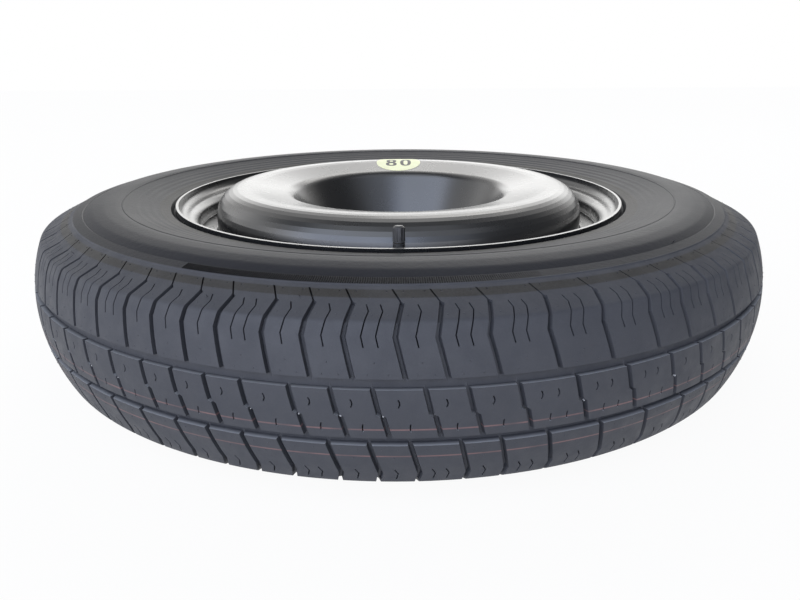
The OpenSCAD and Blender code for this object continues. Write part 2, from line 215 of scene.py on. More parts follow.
def bandGroup():  # a soft band between two values
    group, source, sink = newGroup("bandMask", [
        ("Value", "NodeSocketFloat", 0.0), ("Centre", "NodeSocketFloat", 0.0), ("Half Width", "NodeSocketFloat", 0.001),
        ("Edge", "NodeSocketFloat", 0.0005)], [("Mask", "NodeSocketFloat")])
    away = mathNode(group, "ABSOLUTE", mathNode(group, "SUBTRACT", source.outputs["Value"], source.outputs["Centre"]))
    over = mathNode(group, "DIVIDE", mathNode(group, "SUBTRACT", away, source.outputs["Half Width"]), source.outputs["Edge"])
    group.links.new(mathNode(group, "SUBTRACT", 1.0, over, True), sink.inputs["Mask"])
    return group


dustFilm, softRipples, bandMask = dustGroup(), ripplesGroup(), bandGroup()


def useGroup(tree, group, **values):
    node = tree.nodes.new("ShaderNodeGroup")
    node.node_tree = group
    for label, value in values.items():
        label = "".join(" " + c if c.isupper() else c for c in label).title()  # patchScale is the socket Patch Scale
        if isinstance(value, bpy.types.NodeSocket):
            tree.links.new(value, node.inputs[label])
        else:
            node.inputs[label].default_value = value
    return node


shaderSockets = {"colour": "Base Color", "roughness": "Roughness", "metallic": "Metallic", "specular": "Specular IOR Level",
                 "coat": "Coat Weight", "coatRoughness": "Coat Roughness"}


def newMaterial(name, **settings):
    material = bpy.data.materials.new(name)
    material.use_nodes = True
    shader = material.node_tree.nodes["Principled BSDF"]
    for label, value in settings.items():
        shader.inputs[shaderSockets[label]].default_value = value
    coordinates = material.node_tree.nodes.new("ShaderNodeTexCoord")
    return material, material.node_tree, shader, coordinates.outputs["Object"]


def addRipples(tree, position, values):  # values are the scale, the fine scale, the share of the fine and the depth
    scale, fineScale, fineShare, depth = values
    return useGroup(tree, softRipples, position=position, scale=scale, fineScale=fineScale, fineShare=fineShare, depth=depth)


def finish(name, look):  # a plain finish: base colour with dust, uneven gloss and a soft texture
    material, tree, shader, position = newMaterial(name, **look["shader"])
    dust = useGroup(tree, dustFilm, position=position, colour=look["shader"]["colour"], dustColour=look["dustColour"],
                    patchScale=look["patchScale"], amount=look["dust"])
    tree.links.new(dust.outputs["Colour"], shader.inputs["Base Color"])
    gloss = noise(tree, position, look["patchScale"] * 4, 4.0, 0.6)
    low, high = look["roughness"]
    rough = mathNode(tree, "ADD", spread(tree, gloss, 0.3, 0.7, low, high), times(tree, dust.outputs["Mask"], 0.4), True)
    tree.links.new(rough, shader.inputs["Roughness"])
    ripples = addRipples(tree, position, look["ripples"])
    tree.links.new(ripples.outputs["Normal"], shader.inputs["Normal"])
    return material


# Tyre
tyreForm = {
    "crownArc": 130.0, "shoulder": 53.4, "shoulderBend": 5.0, "ringDrop": 37.5, "ringWidth": 7.6,
    "ribHalf": 15.6, "upperGroove": 6.4, "lowerGroove": 5.7, "grooveDepth": 4.0, "draft": 0.35,
    "slotWidth": 2.5, "slotDepth": 3.6, "slotLean": 13.0, "slotStep": 2.3, "tailWidth": 0.9, "tailDepth": 2.6,
    "kneeHeight": 45.0, "kneeShift": -0.4, "edgeShift": 1.9, "kinkShift": 4.2, "tailShift": 3.6, "endShift": -1.2,
    "upperOffset": -1.85, "lowerOffset": 3.6, "firstPitch": -43.4,
    "pitches": "MMMSSSMSSMSMLLLMMMLMSMLLMSSMMLMSSMSMLLMMSMSSMLMMSLMMSMSSMLLMMSMLMSSMMLMM",
    "pitchSize": {"S": 0.81, "M": 1.0, "L": 1.22},
    "lipFlare": 0.75, "sipeWidth": 0.9, "sipeDepth": 2.4, "nubSize": 0.6, "nubHeight": 0.4,
}
rubberLook = {
    "colour": (0.040, 0.042, 0.050, 1), "dustColour": (0.16, 0.165, 0.18, 1), "dust": 0.10, "patchScale": 26.0,
    "roughness": (0.5, 0.68), "specular": 0.4, "lineColour": (0.2, 0.11, 0.105, 1), "lines": ((-9.6, 0.35), (-29.5, 0.35)),
    "wallColour": (0.017, 0.018, 0.022, 1), "wallRoughness": 0.4, "wallSpecular": 0.09,
    "ridges": {"middle": 0.243, "half": 0.011, "pitch": 0.0068, "depth": 0.3}, "ripples": (260.0, 1800.0, 0.5, 0.35),
    "stripColour": (0.017, 0.016, 0.015, 1), "strip": (62.8, 1.3),
    # the paler colour below is a painted highlight on the groove walls that face up, limited to a band from the middle
    "paintedHighlightColour": (0.26, 0.27, 0.29, 1), "paintedHighlightBand": 24.0,
}


def crown(height):
    arc = tyreForm["crownArc"]
    return tyreRadius - arc + math.sqrt(arc * arc - height * height)


ringOuter = tyreRadius - tyreForm["ringDrop"]
ringInner = ringOuter - tyreForm["ringWidth"]
wallHeight = ringInner - flangeRadius
shoulderPoint = Vector((crown(tyreForm["shoulder"]), tyreForm["shoulder"]))
ringCorner = Vector((ringOuter + 0.8, halfWidth - 7))


def wallRadius(share):
    return flangeRadius + wallHeight * share


treadPath = rounded([(crown(z * 0.5), z * 0.5) for z in range(0, int((tyreForm["shoulder"] - 3) * 2))]
                    + [(shoulderPoint.x, shoulderPoint.y, tyreForm["shoulderBend"]), (ringCorner.x, ringCorner.y)], 4)
treadLength = [0.0]
for a, b in zip(treadPath, treadPath[1:]):
    treadLength.append(treadLength[-1] + (b - a).length)
treadEnd = treadLength[-1]


def onProfile(t):  # radius, height and outward normal at a length along the outside, measured from the centre
    side = -1 if t < 0 else 1
    t = min(abs(t), treadEnd - 1e-6)
    i = int(np.searchsorted(treadLength, t, side="right")) - 1
    i = min(i, len(treadPath) - 2)
    share = (t - treadLength[i]) / (treadLength[i + 1] - treadLength[i])
    a, b = treadPath[i], treadPath[i + 1]
    point = a.lerp(b, share)

    def normalOf(k):
        k = max(0, min(k, len(treadPath) - 2))
        d = (treadPath[k + 1] - treadPath[k]).normalized()
        return Vector((d.y, -d.x))
    normal = normalOf(i)
    if share < 0.5 and i > 0:
        normal = normalOf(i - 1).lerp(normal, 0.5 + share)
    elif share >= 0.5:
        normal = normal.lerp(normalOf(i + 1), share - 0.5)
    normal.normalize()
    if t < 0.5 and share < 0.5:
        normal = Vector((1, 0))
    return point.x, side * point.y, normal.x, side * normal.y


def lengthAt(height):  # the length along the outside at a height
    side = -1 if height < 0 else 1
    heights = [p.y for p in treadPath]
    return side * float(np.interp(abs(height), heights, treadLength))


slopeStart = lengthAt(tyreForm["shoulder"])
degree = tyreRadius * math.pi / 180  # one degree of turn, as a length at the tyre's largest radius


def slopeT(share):
    return slopeStart + (treadEnd - slopeStart) * share


def across(x, t):  # a sideways length on the surface at t, as a length at the largest radius
    return x * tyreRadius / onProfile(t)[0]


# Each groove line is a list of (u, t, half width, depth) at the largest radius, rising in t
def slotLines():
    form = tyreForm
    run = math.tan(math.radians(form["slotLean"]))
    rib = form["ribHalf"]
    half = form["slotWidth"] / 2
    deep = form["slotDepth"]
    step = form["slotStep"]
    centre = [(rib * 2 * run + step, lengthAt(-rib), half, deep), (rib * run + step, lengthAt(-1.2), half, deep),
              (rib * run, 0.0, half, deep), (0.0, lengthAt(rib), half, deep)]

    def shoulder(side, groove, offset):
        start = rib + groove
        kneeT = lengthAt(form["kneeHeight"])
        knee = -(form["kneeHeight"] - start + 1.2) * run + form["kneeShift"]
        thin, shallow = form["tailWidth"] / 2, form["tailDepth"]
        raw = [(-1.2 * run, lengthAt(start), half, deep), (knee, kneeT, half, deep),
               (knee + form["edgeShift"], slopeStart + 1, half * 0.9, deep - 0.4),
               (knee + form["kinkShift"], slopeT(0.48), half * 0.9, shallow),
               (knee + form["tailShift"], slopeT(0.48) + 1.2, thin, shallow),
               (knee + form["endShift"], slopeT(0.9), thin, shallow)]
        line = [(side * across(x, t) + offset * degree, side * t, across(w, t), d) for x, t, w, d in raw]
        return line if side > 0 else line[::-1]
    upper = shoulder(1, form["upperGroove"], form["upperOffset"])
    lower = shoulder(-1, form["lowerGroove"], form["lowerOffset"])
    return centre, upper, lower


centreLine, upperLine, lowerLine = slotLines()
rowHeights = [0, 3, 6.5, 10.5, lengthAt(15.6), lengthAt(22), lengthAt(21.3), 27, 32, 37, 42, lengthAt(45), 49]
rowHeights += [slopeStart + step for step in (-3.2, -2, -1, 0, 1, 2, 3.4)]
rowHeights += [slopeT(share) for share in (0.3, 0.48, 0.62, 0.76, 0.9)] + [treadEnd]
rowsT = sorted(set(round(side * t, 4) for side in (-1, 1) for t in rowHeights))



def cutAtRows(line, longest=6.5):  # adds points where a line crosses the rows
    result = [line[0]]
    for a, b in zip(line, line[1:]):
        shares = {1.0}
        if abs(b[1] - a[1]) > 1e-6:
            for row in rowsT:
                s = (row - a[1]) / (b[1] - a[1])
                if 1e-3 < s < 1 - 1e-3:
                    shares.add(s)
        else:
            pieces = max(1, math.ceil(abs(b[0] - a[0]) / longest))
            shares |= {k / pieces for k in range(1, pieces)}
        for s in sorted(shares):
            result.append(tuple(x + (y - x) * s for x, y in zip(a, b)))
    return result


def lineAt(line, t):
    ts = [p[1] for p in line]
    return tuple(float(np.interp(t, ts, [p[i] for p in line])) for i in (0, 2, 3))


def edgeOf(line, side, inset, tLow, tHigh, depth=None):  # one edge of a groove between two lengths, as (u, t, depth)
    ts = [tLow] + [p[1] for p in line if tLow + 1e-4 < p[1] < tHigh - 1e-4] + [tHigh]
    points = []
    for t in ts:
        u, half, deep = lineAt(line, t)
        lip = half * tyreForm["lipFlare"] if side > 0 and depth is not None else 0  # the right wall leans more
        points.append((u + side * (half + lip - inset), t, deep if depth is None else depth))
    return points


def inside(point, polygon):
    x, y = point
    found = False
    for i in range(len(polygon)):
        ax, ay = polygon[i][:2]
        bx, by = polygon[i - 1][:2]
        if (ay > y) != (by > y) and x < (bx - ax) * (y - ay) / (by - ay) + ax:
            found = not found
    return found


def distanceTo(point, loop, closed=True):
    best = 1e9
    p = Vector(point[:2])
    pairs = list(zip(loop, loop[1:])) + ([(loop[-1], loop[0])] if closed else [])
    for a, b in pairs:
        a, b = Vector(a[:2]), Vector(b[:2])
        d = b - a
        s = max(0, min(1, (p - a).dot(d) / max(d.length_squared, 1e-12)))
        best = min(best, (a + d * s - p).length)
    return best


def sipeLoop(line, half):  # a thin closed loop round a line of (u, t), and its bottom line
    left, right = [], []
    for i, (u, t) in enumerate(line):
        a = Vector(line[max(i - 1, 0)])
        b = Vector(line[min(i + 1, len(line) - 1)])
        d = (b - a).normalized()
        side = Vector((-d.y, d.x)) * half
        along = d * (half if i == len(line) - 1 else -half if i == 0 else 0) * 0.6
        left.append((u + side.x + along.x, t + side.y + along.y))
        right.append((u - side.x + along.x, t - side.y + along.y))
    return left + right[::-1]


# Marks on the blocks: degrees from the slot's start (slot) or from the block's middle (mid), and lengths t
blockMarks = {
    "shoulderSipe": ((-0.78, 40.3), (-1.03, 46.5), (-0.4, 62.5), (-0.68, 67.6)),
    "sipeShift": {"S": (0.0,), "M": (-0.72, 0.72), "L": (-0.72, 0.72)},
    "tailDimples": ((-1.9, 78.4), (-0.1, 78.4)), "dimpleRadius": 0.8, "dimpleDepth": 0.7,
    "lowerSipe": ((0.0, 42.0), (-0.35, 46.0), (-0.15, 51.5)),
    "ribSipes": {"S": ((0.48,), (0.53,)), "M": ((0.48,), (0.53,)), "L": ((0.37, 0.66), (0.41, 0.705))},
    "ribSipeHalf": 0.45, "lowerSipeShift": 0.55,
}


def blockFeatures(width, kind):  # closed lip loops with their bottom lines, and round marks, in plan
    loops, rounds = [], []
    half = tyreForm["sipeWidth"] / 2
    middleTurn = width / degree / 2
    for side, offset in ((1, tyreForm["upperOffset"]), (-1, tyreForm["lowerOffset"])):
        for shift in blockMarks["sipeShift"][kind]:
            shape = blockMarks["shoulderSipe"] if side > 0 else blockMarks["lowerSipe"]
            base = 0.0 if side > 0 else blockMarks["lowerSipeShift"]
            line = [((offset + side * turn + base + middleTurn + shift) * degree, side * t) for turn, t in shape]
            line = cutAtRows(line)
            loops.append((sipeLoop(line, half), line, tyreForm["sipeDepth"]))
        for turn, t in blockMarks["tailDimples"]:
            rounds.append(((offset + side * turn + (middleTurn * 2 if side * turn < -1.0 and side > 0 else 0)) * degree,
                           side * t, blockMarks["dimpleRadius"], blockMarks["dimpleDepth"]))
        shifts = blockMarks["sipeShift"][kind]
        cuts = [-middleTurn] + list(shifts) + [middleTurn]
        nub = (tyreForm["nubSize"], -tyreForm["nubHeight"])
        for a, b in zip(cuts, cuts[1:]):
            rounds.append(((offset + side * -0.75 + middleTurn + (a + b) / 2) * degree, side * 59.5, *nub))
        rounds.append(((offset + side * -0.45 + middleTurn) * degree, side * 31.5, *nub))
        for share in (0.3, 0.7):
            rounds.append(((offset - side * 0.1 + middleTurn * 2 * share) * degree, side * 24.6, *nub))
        rounds.append(((offset - side * 1.15 + middleTurn) * degree, side * 73.0, 0.6, 0.4))
    upper, lower = blockMarks["ribSipes"][kind]
    for shares, zLow, zHigh, bow, shift in ((upper, 4.7, 9.6, 0.45, -1.1), (lower, -10.9, -6.2, -0.12, -1.8)):
        for share in shares:
            line = []
            for k in range(5):
                z = zLow + (zHigh - zLow) * k / 4
                t = lengthAt(z)
                line.append((lineAt(centreLine, lengthAt((zLow + zHigh) / 2))[0] + share * width + shift
                             + bow * (1 - (k - 2) ** 2 / 2), t))
            loops.append((sipeLoop(cutAtRows(line), blockMarks["ribSipeHalf"]), cutAtRows(line), tyreForm["sipeDepth"]))
    return loops, rounds


def treadCell(width, kind):  # one pitch of the tread in plan: points (u, t, depth), triangles, and its four sides
    draft, groove = tyreForm["draft"], tyreForm["grooveDepth"]
    rib = tyreForm["ribHalf"]
    tTop0, tTop1 = lengthAt(rib), lengthAt(rib + tyreForm["upperGroove"])
    tLow0, tLow1 = lengthAt(-rib), lengthAt(-rib - tyreForm["lowerGroove"])
    tail = slopeT(0.9)
    deepTail = tyreForm["tailDepth"]
    uTop, uLow = upperLine[-1][0], lowerLine[0][0]
    left = [(uLow, -treadEnd, 0.0), (uLow, -tail, 0.0), (uLow, -tail + draft, deepTail)]
    left += [(u, t, d) for u, t, w, d in lowerLine[1:]]
    left += [(lowerLine[-1][0], (tLow0 + tLow1) / 2, groove), (centreLine[0][0], (tLow0 + tLow1) / 2, groove)]
    left += [(u, t, d) for u, t, w, d in centreLine]
    left += [(centreLine[-1][0], (tTop0 + tTop1) / 2, groove), (upperLine[0][0], (tTop0 + tTop1) / 2, groove)]
    left += [(u, t, d) for u, t, w, d in upperLine[:-1]]
    left += [(uTop, tail - draft, deepTail), (uTop, tail, 0.0), (uTop, treadEnd, 0.0)]
    left = cutAtRows(left)
    moved = lambda line: [(p[0] + width,) + tuple(p[1:]) for p in line]
    right = moved(left)
    columns = max(4, round(width / 6.1))

    # Lips at depth 0 and feet at the floor, for the three blocks
    def block(line, tIn, tOut, side):  # a shoulder block, open towards its tail end
        uEnd = line[-1][0] if side > 0 else line[0][0]
        result = []
        for inset, level in ((0.0, 0.0), (draft, None)):
            a, b = (tIn - side * inset, tOut - side * inset)
            low, high = min(a, b), max(a, b)
            near = edgeOf(line, 1, inset, low, high, level)
            far = moved(edgeOf(line, -1, inset, low, high, level))
            if side > 0:
                near = near[::-1]
            else:
                far = far[::-1]
            if level is None:
                near[-1] = near[-1][:2] + (groove,)
                far[0] = far[0][:2] + (groove,)
            ends = 0.0 if level == 0.0 else deepTail
            result.append(cutAtRows([(uEnd, b, ends)] + near + far + [(uEnd + width, b, ends)]))
        return result

    upperLip, upperFoot = block(upperLine, tTop1, tail, 1)
    lowerLip, lowerFoot = block(lowerLine, tLow1, -tail, -1)
    ribLoops = []
    for inset, level in ((0.0, 0.0), (draft, None)):
        near = edgeOf(centreLine, 1, inset, tLow0 - inset, tTop0 + inset, level)
        far = moved(edgeOf(centreLine, -1, inset, tLow0 - inset, tTop0 + inset, level))[::-1]
        if level is None:
            near = [near[0][:2] + (groove,)] + near[1:-1] + [near[-1][:2] + (groove,)]
            far = [far[0][:2] + (groove,)] + far[1:-1] + [far[-1][:2] + (groove,)]
        ribLoops.append(cutAtRows(near + far + [near[0]])[:-1])
    ribLip, ribFoot = ribLoops

    points, index, edges = [], {}, set()

    def add(p):
        key = (round(p[0], 4), round(p[1], 4))
        if key not in index:
            index[key] = len(points)
            points.append(tuple(p))
        return index[key]

    def addLine(line, closed=False):
        ids = [add(p) for p in line]
        for a, b in list(zip(ids, ids[1:])) + ([(ids[-1], ids[0])] if closed else []):
            if a != b:
                edges.add((a, b))
        return ids

    leftIds, rightIds = addLine(left), addLine(right)
    topIds = addLine([(uTop + width * k / columns, treadEnd, 0.0) for k in range(columns + 1)])
    lowIds = addLine([(uLow + width * k / columns, -treadEnd, 0.0) for k in range(columns + 1)])
    for line in (upperLip, upperFoot, lowerLip, lowerFoot):
        addLine(line)
    addLine(ribLip, True)
    addLine(ribFoot, True)
    blocks = [upperLip + [(uTop + width, treadEnd), (uTop, treadEnd)],
              lowerLip + [(uLow + width, -treadEnd), (uLow, -treadEnd)], ribLip]
    loops, rounds = blockFeatures(width, kind)
    for loop, bottom, depth in loops:
        addLine([(u, t, 0.0) for u, t in loop], True)
        addLine([(u, t, depth) for u, t in bottom])
    for u, t, radius, depth in rounds:
        turns = [k * math.pi / 4 for k in range(8)]
        ring = [(u + across(radius, t) * math.cos(a), t + radius * math.sin(a), 0.0) for a in turns]
        addLine(ring, True)
        add((u, t, depth))

    # Points on the block tops along rows, so that the tops follow the tyre's curve
    def onTop(u, t):
        if not any(inside((u, t), outline) for outline in blocks):
            return False
        return not any(inside((u, t), loop) for loop, bottom, depth in loops)

    for row in rowsT[1:-1]:
        start = float(np.interp(row, [p[1] for p in left], [p[0] for p in left]))
        for k in range(1, columns * 2):
            u = start + width * (k / columns - 0.5)
            if not onTop(u, row) or min(distanceTo((u, row), outline) for outline in blocks) < 1.0:
                continue
            if any(distanceTo((u, row), loop) < 0.6 for loop, bottom, depth in loops):
                continue
            if any((Vector((u, row)) - Vector((a, b))).length < r + 0.5 for a, b, r, d in rounds):
                continue
            add((u, row, 0.0))
    for row in rowsT[1:-1]:
        onRow = sorted((p[0], i) for i, p in enumerate(points) if abs(p[1] - row) < 1e-5)
        for (ua, a), (ub, b) in zip(onRow, onRow[1:]):
            if ub - ua < 0.02 or not onTop((ua + ub) / 2, row):
                continue
            if any(abs(row - t) < r + 0.05 and ua < u + r and ub > u - r for u, t, r, d in rounds):
                continue
            if (b, a) not in edges:
                edges.add((a, b))

    outline = leftIds + topIds[1:] + rightIds[::-1][1:] + lowIds[::-1][1:-1]
    found = delaunay_2d_cdt([Vector(p[:2]) for p in points], list(edges), [outline[::-1]], 1, 1e-5)
    cellPoints, triangles, origin = found[0], found[2], found[3]
    depths, order = [], {}
    strays = 0
    for i, source in enumerate(origin):
        if source:
            depths.append(points[source[0]][2])
            for k in source:
                order[k] = i
        else:
            depths.append(0.0)
            strays += 1
    flat = []
    for tri in triangles:
        a, b, c = [cellPoints[k] for k in tri]
        area = (b - a).cross(c - a)
        if abs(area) > 1e-7:
            flat.append(tuple(tri) if area > 0 else tuple(tri)[::-1])
    print("cell %s: %d points, %d triangles, %d new crossings" % (kind, len(cellPoints), len(flat), strays))
    sides = [[order[k] for k in ids] for ids in (leftIds, rightIds, topIds, lowIds)]
    return {"points": [(p.x, p.y, d) for p, d in zip(cellPoints, depths)], "triangles": flat, "sides": sides}


def sidewallRows():  # the section from the tread's upper end over the sidewall, bead and lining to the lower end
    line, rest = (wallRadius(0.569), halfWidth - 1.2), (wallRadius(0.631), wallRadius(0.774))
    outer = rounded([
        (ringCorner.x, ringCorner.y), (ringOuter, ringCorner.y + 0.8), (ringInner, halfWidth - 4.4),
        (ringInner - 0.8, halfWidth - 4.8), (wallRadius(0.902), halfWidth - 1.6, wallHeight * 0.155),
        (rest[1], halfWidth, wallHeight * 0.258), (rest[0], halfWidth, wallHeight * 0.258),
        (line[0] + 1.4, line[1] + 0.3), (line[0] + 0.98, line[1] + 0.5), (line[0] + 0.42, line[1] + 0.5), line,
        (flangeRadius + 7, halfWidth - 10.2, 2), (flangeRadius + 4.6, halfWidth - 10.4, 0.8, 25),
        (flangeRadius + 2.4, 58.3, 1, 25), (flangeRadius - 0.5, 57)], 9)
    hidden = [Vector(p) for p in ((217.4, 54.0), (210.5, 50.7), (204.5, 50.4), (202.6, 46), (202.2, 39.4))]
    lining = rounded([
        (214.8, 40.2), (226.1, 56.5, 14), (rest[0], halfWidth - 6.2, 20), (rest[1], halfWidth - 6.2, 20),
        (ringOuter, halfWidth - 15.2, 20), (crown(46) - 16, 46, 14), (crown(30) - 13, 30), (crown(14) - 13, 14)], 40)
    return outer[1:] + hidden + lining


def makeTyre():
    total = sum(tyreForm["pitchSize"][k] for k in tyreForm["pitches"])
    cells = {kind: treadCell(360 / total * size * degree, kind) for kind, size in tyreForm["pitchSize"].items()}
    points, faces, pointNormals, flags = [], [], [], []
    turn = math.radians(tyreForm["firstPitch"])
    topColumns, lowColumns = [], []
    previousRight, firstLeft = None, None
    for number, letter in enumerate(tyreForm["pitches"]):
        cell = cells[letter]
        leftIds, rightIds, topIds, lowIds = cell["sides"]
        mapped = {}
        if previousRight is not None:
            mapped.update(zip(leftIds, previousRight))
        if number == len(tyreForm["pitches"]) - 1:
            mapped.update(zip(rightIds, firstLeft))
        for i, (u, t, depth) in enumerate(cell["points"]):
            if i in mapped:
                continue
            radius, height, outward, up = onProfile(t)
            angle = turn + u / tyreRadius
            mapped[i] = len(points)
            points.append(place(radius - outward * depth, height - up * depth, angle))
            pointNormals.append((outward * math.sin(angle), -outward * math.cos(angle), up))
            flags.append(depth == 0.0)
        for tri in cell["triangles"]:
            faces.append([mapped[k] for k in tri])
        topColumns += [mapped[k] for k in topIds[:-1]]
        lowColumns += [mapped[k] for k in lowIds[:-1]]
        previousRight = [mapped[k] for k in rightIds]
        if firstLeft is None:
            firstLeft = [mapped[k] for k in leftIds]
        turn += math.radians(360 / total * tyreForm["pitchSize"][letter])
    corners = []
    for face in faces:
        top = all(flags[k] for k in face)
        corners.append([pointNormals[k] for k in face] if top else None)

    half = sidewallRows()
    section = [(p.x, p.y, 0) for p in half] + [(p.x, -p.y, 1) for p in reversed(half)]
    path = [(ringCorner.x, ringCorner.y)] + [p[:2] for p in section] + [(ringCorner.x, -ringCorner.y)]
    segmentNormals = []
    for (ra, za), (rb, zb) in zip(path, path[1:]):
        d = Vector((rb - ra, zb - za)).normalized()
        segmentNormals.append(Vector((d.y, -d.x)))
    columnAngles = []
    for columns in (topColumns, lowColumns):
        columnAngles.append([math.atan2(points[k][0], -points[k][1]) for k in columns])
    rows = [topColumns]
    for radius, height, low in section:
        rows.append(list(range(len(points), len(points) + len(topColumns))))
        points += [place(radius, height, a) for a in columnAngles[low]]
    rows.append(lowColumns)
    count = len(topColumns)
    for j in range(len(rows) - 1):
        ends = []
        for k, neighbour in ((j, j - 1), (j + 1, j + 1)):
            own = segmentNormals[j]
            other = segmentNormals[neighbour] if 0 <= neighbour < len(segmentNormals) else own
            ends.append((own + other).normalized() if own.angle(other) < math.radians(26) else own)
        for c in range(count):
            d = (c + 1) % count
            quad = [rows[j][c], rows[j][d], rows[j + 1][d], rows[j + 1][c]]
            normals = []
            for k, end in zip(quad, (0, 0, 1, 1)):
                x, y = points[k][0], points[k][1]
                r = math.hypot(x, y)
                normals.append((ends[end].x * x / r, ends[end].x * y / r, ends[end].y))
            faces.append(quad)
            corners.append(normals)
    return points, faces, corners


def tyrePiece():
    material, tree, shader, position = newMaterial("tyreRubber", specular=rubberLook["specular"])
    split = tree.nodes.new("ShaderNodeSeparateXYZ")
    tree.links.new(position, split.inputs[0])
    x, y, z = split.outputs
    radius = mathNode(tree, "SQRT", mathNode(tree, "ADD", times(tree, x, x), times(tree, y, y)))
    colour = rubberLook["colour"]
    node = None
    for height, half in rubberLook["lines"]:
        mask = useGroup(tree, bandMask, value=split.outputs["Z"], centre=(middle + height) * 0.001, halfWidth=half * 0.001,
                        edge=0.0003)
        broken = times(tree, mask.outputs["Mask"], spread(tree, noise(tree, position, 60.0, 3.0), 0.3, 0.6, 0.2, 0.7))
        broken = times(tree, broken, spread(tree, radius, (tyreRadius - 3.9) * 0.001, (tyreRadius - 3.6) * 0.001))
        node = mixColour(tree, broken, node or colour, rubberLook["lineColour"])
    away = mathNode(tree, "ABSOLUTE", mathNode(tree, "SUBTRACT", z, middle * 0.001))
    wall = spread(tree, radius, (ringOuter + 0.2) * 0.001, (ringOuter - 0.6) * 0.001)
    node = mixColour(tree, wall, node, rubberLook["wallColour"])
    at, half = rubberLook["strip"]
    strip = useGroup(tree, bandMask, value=away, centre=at * 0.001, halfWidth=half * 0.001, edge=0.0004).outputs["Mask"]
    facing = tree.nodes.new("ShaderNodeSeparateXYZ")  # painted highlight: the groove walls that face up are made paler, standing in for the light they catch from above
    tree.links.new(tree.nodes.new("ShaderNodeNewGeometry").outputs["Normal"], facing.inputs[0])
    up = spread(tree, facing.outputs[2], 0.75, 0.95)
    outside = spread(tree, radius, (tyreRadius - 4.6) * 0.001, (tyreRadius - 1.6) * 0.001)
    near = spread(tree, away, rubberLook["paintedHighlightBand"] * 0.001, (rubberLook["paintedHighlightBand"] - 1) * 0.001)
    paintedHighlight = times(tree, times(tree, up, outside), near, True)
    # painted highlight mixed onto the upward-facing groove walls near the tread's outside
    node = mixColour(tree, paintedHighlight, node, rubberLook["paintedHighlightColour"])
    node = mixColour(tree, strip, node, rubberLook["stripColour"])
    dust = useGroup(tree, dustFilm, position=position, colour=node, dustColour=rubberLook["dustColour"],
                    patchScale=rubberLook["patchScale"], amount=rubberLook["dust"])
    calm = mathNode(tree, "SUBTRACT", 1.0, times(tree, wall, 0.75))
    tree.links.new(mixColour(tree, calm, node, dust.outputs["Colour"]), shader.inputs["Base Color"])
    low, high = rubberLook["roughness"]
    smooth = mathNode(tree, "MAXIMUM", wall, times(tree, strip, 0.5))
    rough = spread(tree, smooth, 0.0, 1.0, spread(tree, noise(tree, position, 90.0, 4.0), 0.3, 0.7, low, high),
                   rubberLook["wallRoughness"])
    tree.links.new(mathNode(tree, "ADD", rough, times(tree, dust.outputs["Mask"], 0.3), True), shader.inputs["Roughness"])
    ripples = addRipples(tree, position, rubberLook["ripples"])
    tree.links.new(spread(tree, wall, 0.0, 1.0, rubberLook["specular"], rubberLook["wallSpecular"]),
                   shader.inputs["Specular IOR Level"])
    ridges = rubberLook["ridges"]
    wave = mathNode(tree, "SINE", times(tree, radius, 2 * math.pi / ridges["pitch"]))
    zone = useGroup(tree, bandMask, value=radius, centre=ridges["middle"], halfWidth=ridges["half"],
                    edge=0.002).outputs["Mask"]
    bump = tree.nodes.new("ShaderNodeBump")
    bump.inputs["Strength"].default_value = ridges["depth"]
    bump.inputs["Distance"].default_value = 0.0003
    tree.links.new(times(tree, wave, zone), bump.inputs["Height"])
    tree.links.new(ripples.outputs["Normal"], bump.inputs["Normal"])
    tree.links.new(bump.outputs["Normal"], shader.inputs["Normal"])

    points, faces, corners = makeTyre()
    piece = meshPiece("tyreDetailed", points, faces, material)
    flatNormals = [tuple(p.normal) for p in piece.data.polygons]
    loops = []
    for k, normals in enumerate(corners):
        loops += normals if normals is not None else [flatNormals[k]] * len(faces[k])
    piece.data.normals_split_custom_set(loops)
    print("tyre: %d triangles" % sum(len(f) - 2 for f in faces))
    return piece


tyre = tyrePiece()
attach(tyre, "wheel")
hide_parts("tyre")

# Fine radial ribs on the raised ring, over part of its turn
knurl = {"from": -27.0, "to": 17.0, "pitch": 1.45, "width": 0.95, "height": 0.45,
         "radii": (ringOuter - 0.6, ringInner + 0.9),
         # the ribs' near-black colour, darker than the sidewall's rubber, is painted shade standing in for the shade
         # between the ribs
         "colour": (0.008, 0.008, 0.009, 1)}


def ringHeight(radius):
    share = (ringOuter - radius) / (ringOuter - ringInner)
    return ringCorner.y + 0.8 + (halfWidth - 4.4 - ringCorner.y - 0.8) * share


def knurlPiece():
    points, faces = [], []
    count = int(math.radians(knurl["to"] - knurl["from"]) * ringOuter / knurl["pitch"])
    high = knurl["height"]
    for k in range(count):
        angle = math.radians(knurl["from"]) + k * knurl["pitch"] / ringOuter
        fade = min(1.0, (count - k) / 60)
        start = len(points)
        for radius in knurl["radii"]:
            half = knurl["width"] / 2 / radius
            level = ringHeight(radius)
            points += [place(radius, level - 0.1, angle - half), place(radius, level + high * fade, angle - half * 0.5),
                       place(radius, level + high * fade, angle + half * 0.5), place(radius, level - 0.1, angle + half)]
        a = start
        faces += [(a, a + 4, a + 5, a + 1), (a + 1, a + 5, a + 6, a + 2), (a + 2, a + 6, a + 7, a + 3),
                  (a, a + 1, a + 2, a + 3), (a + 7, a + 6, a + 5, a + 4)]
    material, tree, shader, position = newMaterial("knurlPaintedShadeRubber", colour=knurl["colour"], specular=0.15)
    tree.links.new(spread(tree, noise(tree, position, 300.0), 0.3, 0.7, 0.55, 0.75), shader.inputs["Roughness"])
    return meshPiece("ringKnurl", points, faces, material, 20)


